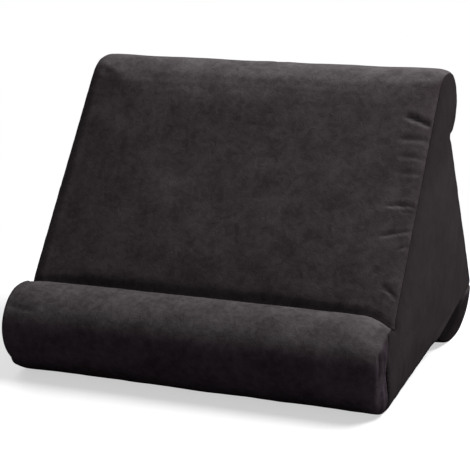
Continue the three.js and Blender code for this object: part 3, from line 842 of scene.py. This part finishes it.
def velour(name, dark, light, patch_mm, sheen, painted_light_by_lean, shift):
    """Brushed polyester velour: mottled charcoal, very rough, with a sheen from the pile.

    The sixth argument paints light and shade by the surface's lean: the tint that darkens surfaces
    leaning down, and the upward lean at which that painted shade is whole and at which it is gone.
    """
    tint, lean_dark, lean_light = painted_light_by_lean
    material, tree = new_material(name)
    place = add(tree, "ShaderNodeTexCoord")
    moved = add(tree, "ShaderNodeMapping", {
        "Vector": place.outputs["Object"], "Location": (shift, 0, 0),
    })
    broad = add(tree, "ShaderNodeTexNoise", {
        "Vector": moved.outputs[0], "Scale": 1 / (BROAD_PATCHES * patch_mm * MM),
        "Detail": 2.0, "Roughness": 0.5,
    })
    patch = add(tree, "ShaderNodeTexNoise", {
        "Vector": moved.outputs[0], "Scale": 1 / (patch_mm * MM),
        "Detail": 3.0, "Roughness": 0.6, "Distortion": 0.6,
    })
    fuzz = add(tree, "ShaderNodeTexNoise", {
        "Vector": moved.outputs[0], "Scale": 1 / (FUZZ_MM * MM), "Detail": 2.0, "Roughness": 0.7,
    })
    both = add(tree, "ShaderNodeMath", {
        0: broad.outputs["Fac"], 1: patch.outputs["Fac"],
    }, operation="ADD")
    grain = add(tree, "ShaderNodeMath", {
        0: fuzz.outputs["Fac"], 1: FUZZ_SHARE, 2: both.outputs[0],
    }, operation="MULTIPLY_ADD")
    share = add(tree, "ShaderNodeMapRange", {
        "Value": grain.outputs[0], "From Min": MOTTLE_LOW, "From Max": MOTTLE_HIGH,
    })
    colour = add(tree, "ShaderNodeMix", {
        0: share.outputs["Result"], 6: linear(dark), 7: linear(light),
    }, data_type="RGBA")
    # Painted light and shade: the colour is darkened towards the tint where the surface leans down
    # and kept where it faces up, as light from above falls
    lean = add(tree, "ShaderNodeSeparateXYZ", {0: place.outputs["Normal"]})
    painted_lit_share = add(tree, "ShaderNodeMapRange", {
        "Value": lean.outputs["Z"], "From Min": lean_dark, "From Max": lean_light,
    }, interpolation_type="SMOOTHSTEP")
    shade = add(tree, "ShaderNodeMix", {
        0: painted_lit_share.outputs["Result"], 6: linear(tint), 7: linear(0xFFFFFF),
    }, data_type="RGBA")
    colour_with_painted_light = add(tree, "ShaderNodeMix", {
        0: 1.0, 6: colour.outputs[2], 7: shade.outputs[2],
    }, data_type="RGBA", blend_type="MULTIPLY")
    # Painted shade: where the mesh's painted shade attribute is high, the colour goes towards near
    # black
    pressed = add(tree, "ShaderNodeAttribute", attribute_name="pressed")
    flat = add(tree, "ShaderNodeMath", {
        0: pressed.outputs["Fac"], 1: PAINTED_SHADE_SHARE,
    }, operation="MULTIPLY")
    colour_with_painted_shade = add(tree, "ShaderNodeMix", {
        0: flat.outputs[0], 6: colour_with_painted_light.outputs[2], 7: linear(PAINTED_SHADE_COLOUR),
    }, data_type="RGBA")
    pile = add(tree, "ShaderNodeBump", {
        "Height": fuzz.outputs["Fac"], "Strength": 0.35, "Distance": 0.5 * MM,
    })
    brushing = add(tree, "ShaderNodeBump", {
        "Height": patch.outputs["Fac"], "Strength": 0.3, "Distance": 1.2 * MM,
        "Normal": pile.outputs[0],
    })
    cloth = add(tree, "ShaderNodeBsdfPrincipled", {
        "Base Color": colour_with_painted_shade.outputs[2], "Roughness": 0.95, "Specular IOR Level": 0.0,
        "Sheen Weight": sheen, "Sheen Roughness": 0.45, "Sheen Tint": linear(SHEEN_TINT),
        "Normal": brushing.outputs[0],
    })
    add(tree, "ShaderNodeOutputMaterial", {"Surface": cloth.outputs[0]})
    return material


# The same cloth in one copy for each piece, each with its colours set lighter or darker for how
# much light falls on it: painted light and shade. The backrest and ledge copies are lighter, the
# rear and side copies darker, and on the sides the mottle is faint
VELOURS = {
    "backrest_panel": velour(
        "charcoal_velour", 0x3F3B3C, 0x555152, 4.5, 0.05, (0xCAC3C6, 0.58, 0.8), 0.0),
    "base_panel": velour(
        "charcoal_velour_ledge", 0x373334, 0x4E4A4B, 4.5, 0.03, (0xD2C2D6, 0.2, 0.62), 0.6),
    "rear_panel": velour(
        "charcoal_velour_rear", 0x2E2A2B, 0x413D3E, 4.5, 0.01, (0xA8A0A4, 0.0, 0.7), 0.9),
}
side_velour = velour(
    "charcoal_velour_side", 0x272324, 0x2D292A, 11, 0.01, (0xC0BCBC, -0.9, -0.3), 0.3)
print("velour:", [material.name for material in VELOURS.values()], side_velour.name)

# %% Set up the cover's pieces
FABRIC = 1.3  # millimetres thick
COVER = {name: VELOURS.get(name, side_velour) for name in meshes}
for name, material in COVER.items():
    piece = bpy.data.objects.new(name + "_velour", meshes[name])
    scene.collection.objects.link(piece)
    piece.data.materials.append(material)
    for polygon in piece.data.polygons:
        polygon.use_smooth = True
    thick = piece.modifiers.new("thickness", "SOLIDIFY")
    thick.thickness = FABRIC * MM
    thick.offset = -1
    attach(piece, "cushion")
    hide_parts(name)
print("cover:", len(COVER), "pieces")

# %% [markdown]
# ## Foam, fibre and webs
# Inside is a wedge cut from a block of open-cell polyurethane foam, loose polyester fibre in the
# rolls, and strips of lining that tie the creases in. None of it shows while the cover is
# closed, but the model keeps it, because the cushion comes apart this way.

# %% Make the inner materials
# Colour of the painted shade on the fillings behind the zip
ZIP_SHADE_COLOUR = 0x252325
WAVE_LENGTH = 0.314  # of a wave texture's bands at scale 1, in metres


def soft_filling(name, dark, light, cell_mm, depth_mm):
    """Open-cell foam or loose fibre: pale, matt, with cells or curls of a given size.

    Where the mesh asks for it, the colour is painted dark: a painted shade behind the zip's teeth.
    """
    material, tree = new_material(name)
    place = add(tree, "ShaderNodeTexCoord")
    cells = add(tree, "ShaderNodeTexVoronoi", {
        "Vector": place.outputs["Object"], "Scale": 1 / (cell_mm * MM),
    })
    colour = add(tree, "ShaderNodeMix", {
        0: cells.outputs["Distance"], 6: linear(dark), 7: linear(light),
    }, data_type="RGBA")
    # Painted shade behind the zip's teeth, where the mesh asks for it
    zip_shade_mask = add(tree, "ShaderNodeAttribute", attribute_name="painted_zip_shade")
    seen = add(tree, "ShaderNodeMix", {
        0: zip_shade_mask.outputs["Fac"], 6: colour.outputs[2], 7: linear(ZIP_SHADE_COLOUR),
    }, data_type="RGBA")
    bump = add(tree, "ShaderNodeBump", {
        "Height": cells.outputs["Distance"], "Strength": 0.6, "Distance": depth_mm * MM,
    })
    body = add(tree, "ShaderNodeBsdfPrincipled", {
        "Base Color": seen.outputs[2], "Roughness": 0.9, "Normal": bump.outputs[0],
    })
    add(tree, "ShaderNodeOutputMaterial", {"Surface": body.outputs[0]})
    return material


def woven(name, dark, light, thread_mm):
    """Plain weave: two sets of threads of a given spacing."""
    material, tree = new_material(name)
    place = add(tree, "ShaderNodeTexCoord")
    warp, weft = [
        add(tree, "ShaderNodeTexWave", {
            "Vector": place.outputs["Object"], "Scale": WAVE_LENGTH / (thread_mm * MM),
        }, wave_type="BANDS", wave_profile="SIN", bands_direction=way)
        for way in "XZ"
    ]
    weave = add(tree, "ShaderNodeMath", {
        0: warp.outputs["Fac"], 1: weft.outputs["Fac"],
    }, operation="MULTIPLY")
    colour = add(tree, "ShaderNodeMix", {
        0: weave.outputs[0], 6: linear(dark), 7: linear(light),
    }, data_type="RGBA")
    bump = add(tree, "ShaderNodeBump", {
        "Height": weave.outputs[0], "Strength": 0.5, "Distance": 0.3 * MM,
    })
    body = add(tree, "ShaderNodeBsdfPrincipled", {
        "Base Color": colour.outputs[2], "Roughness": 0.85, "Normal": bump.outputs[0],
    })
    add(tree, "ShaderNodeOutputMaterial", {"Surface": body.outputs[0]})
    return material


foam = soft_filling("open_cell_foam", 0xC9C1AC, 0xE4DECE, 1.2, 0.6)
fibre = soft_filling("polyester_fibre", 0xDAD8D2, 0xF4F3EF, 5.0, 2.0)
lining = woven("cotton_lining", 0x343234, 0x454245, 0.8)
tape = woven("zip_tape_twill", 0x151416, 0x252326, 0.7)

# %% Make the inner pieces
FILL_VOXEL = 4
FILL_LUMP_SIZE, FILL_SEED = 14, 5
INSET = 3
# The fillings are painted dark inside a box round the zip's tapes: a painted shade behind the teeth
ZIP_SHADE_MARGIN = 12 * MM
ZIP_LOW = np.array(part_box("zip_tape_lower")[0]) - ZIP_SHADE_MARGIN
ZIP_HIGH = np.array(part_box("zip_tape_upper")[1]) + ZIP_SHADE_MARGIN
LENGTH_SHARE = 0.965  # of the CAD length: the fillings stop short of the gathered ends
FILLINGS = {
    # node: (material, slot, height of the lumps in millimetres)
    "core_wedge": (foam, "foam", 0.3),
    "top_roll_fill": (fibre, "fibre_fill", 1.4),
    "rear_roll_fill": (fibre, "fibre_fill", 1.4),
    "ledge_roll_fill": (fibre, "fibre_fill", 1.4),
}


def inner_copy(name, lump_mm):
    """A CAD solid remeshed evenly, drawn in a little from the cover, with soft lumps."""
    source = bpy.data.objects.new(name + "_source", nodes[name].data.copy())
    scene.collection.objects.link(source)
    remesh = source.modifiers.new("even", "REMESH")
    remesh.mode = "VOXEL"
    remesh.voxel_size = FILL_VOXEL * MM
    remesh.use_smooth_shade = True
    graph = bpy.context.evaluated_depsgraph_get()
    mesh = bpy.data.meshes.new_from_object(source.evaluated_get(graph))
    bpy.data.objects.remove(source)
    points = points_of(mesh)
    normals = np.array([tuple(v.normal) for v in mesh.vertices])
    height = lump_mm * rough(points, FILL_LUMP_SIZE, FILL_SEED) - INSET
    points = to_part((points + normals * height[:, None]) * [LENGTH_SHARE, 1, 1])
    mesh.vertices.foreach_set("co", points.ravel())
    # Painted shade behind the zip
    painted_zip_shade = ((points > ZIP_LOW) & (points < ZIP_HIGH)).all(axis=1)
    zip_shade_mask = mesh.attributes.new("painted_zip_shade", "FLOAT", "POINT")
    zip_shade_mask.data.foreach_set("value", painted_zip_shade.astype(float))
    mesh.update()
    return mesh


for name, (material, slot, lump) in FILLINGS.items():
    piece = bpy.data.objects.new(name + "_soft", inner_copy(name, lump))
    scene.collection.objects.link(piece)
    piece.data.materials.clear()
    piece.data.materials.append(material)
    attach(piece, "cushion")
    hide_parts(name)

WEB_NEIGHBOURS = {
    "top_web": "top_roll_fill",
    "rear_web": "rear_roll_fill",
    "ledge_web": "ledge_roll_fill",
}
LONG_EDGE, WEB_CUTS = 0.1, 40  # edges longer than this, in metres, are cut up
WEB_RIPPLE, WEB_WAVE = 0.25 * MM, 9 * MM
for name, neighbour in WEB_NEIGHBOURS.items():
    bm = bmesh.new()
    bm.from_mesh(nodes[name].data)
    bmesh.ops.remove_doubles(bm, verts=bm.verts, dist=0.01 * MM)
    long_edges = [e for e in bm.edges if e.calc_length() > LONG_EDGE]
    bmesh.ops.subdivide_edges(bm, edges=long_edges, cuts=WEB_CUTS, use_grid_fill=True)
    for vertex in bm.verts:
        vertex.co.z += WEB_RIPPLE * sin(vertex.co.x / WEB_WAVE)
    mesh = bpy.data.meshes.new(name + "_cloth")
    bm.to_mesh(mesh)
    bm.free()
    piece = bpy.data.objects.new(name + "_cloth", mesh)
    scene.collection.objects.link(piece)
    piece.data.materials.clear()
    piece.data.materials.append(lining)
    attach(piece, "cushion")
    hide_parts(name)
print("inside:", len(FILLINGS), "fillings and", len(WEB_NEIGHBOURS), "webs")

# %% [markdown]
# ## The zip
# The cover opens along a zip under the top roll: two woven tapes, two rows of moulded teeth, end
# stops, and an enamelled zinc slider with its pull. The CAD solids already have the right
# shapes, so they stay, with their edges broken by a fine bevel and finishes of their own.


# %% Finish the zip
RUBBED, DULL = 0.08, 0.1  # how far the roughness goes below and above its mean


def moulded(name, hex_colour, roughness, grain_mm):
    """A smooth moulded or enamelled surface with a slight orange peel."""
    material, tree = new_material(name)
    place = add(tree, "ShaderNodeTexCoord")
    peel = add(tree, "ShaderNodeTexNoise", {
        "Vector": place.outputs["Object"], "Scale": 1 / (grain_mm * MM), "Detail": 2.0,
    })
    rub = add(tree, "ShaderNodeMapRange", {
        "Value": peel.outputs["Fac"], "To Min": roughness - RUBBED, "To Max": roughness + DULL,
    })
    bump = add(tree, "ShaderNodeBump", {
        "Height": peel.outputs["Fac"], "Strength": 0.15, "Distance": 0.1 * MM,
    })
    body = add(tree, "ShaderNodeBsdfPrincipled", {
        "Base Color": linear(hex_colour), "Roughness": rub.outputs["Result"],
        "Normal": bump.outputs[0],
    })
    add(tree, "ShaderNodeOutputMaterial", {"Surface": body.outputs[0]})
    return material


acetal = moulded("moulded_acetal", 0x242326, 0.42, 0.8)
enamel = moulded("black_enamelled_zinc", 0x2B2A2D, 0.34, 1.5)
ZIP_FINISH = {
    # node: (material, bevel of its edges in millimetres)
    "zip_tape_upper": (tape, 0),
    "zip_tape_lower": (tape, 0),
    "zip_teeth_upper": (acetal, 0.12),
    "zip_teeth_lower": (acetal, 0.12),
    "zip_stop_open": (acetal, 0.3),
    "zip_stop_closed": (acetal, 0.3),
    "zip_slider": (enamel, 0.25),
    "zip_pull": (enamel, 0.3),
}
for name, (material, edge_mm) in ZIP_FINISH.items():
    node = nodes[name]
    node.data.materials.clear()
    node.data.materials.append(material)
    if edge_mm:
        bevel = node.modifiers.new("broken_edges", "BEVEL")
        bevel.width = edge_mm * MM
        bevel.segments = 2
        bevel.limit_method = "ANGLE"
print("zip:", len(ZIP_FINISH), "pieces")

# %% [markdown]
# ## Sizes
# The dressed cushion has to stay the size of the CAD model, so both boxes are printed for
# comparison.

# %% Write the sizes and finish
boxes = {"cad": cad_box, "visual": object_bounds()}
for key, box in boxes.items():
    print("size:", key, [[round(c / MM, 1) for c in corner] for corner in box])
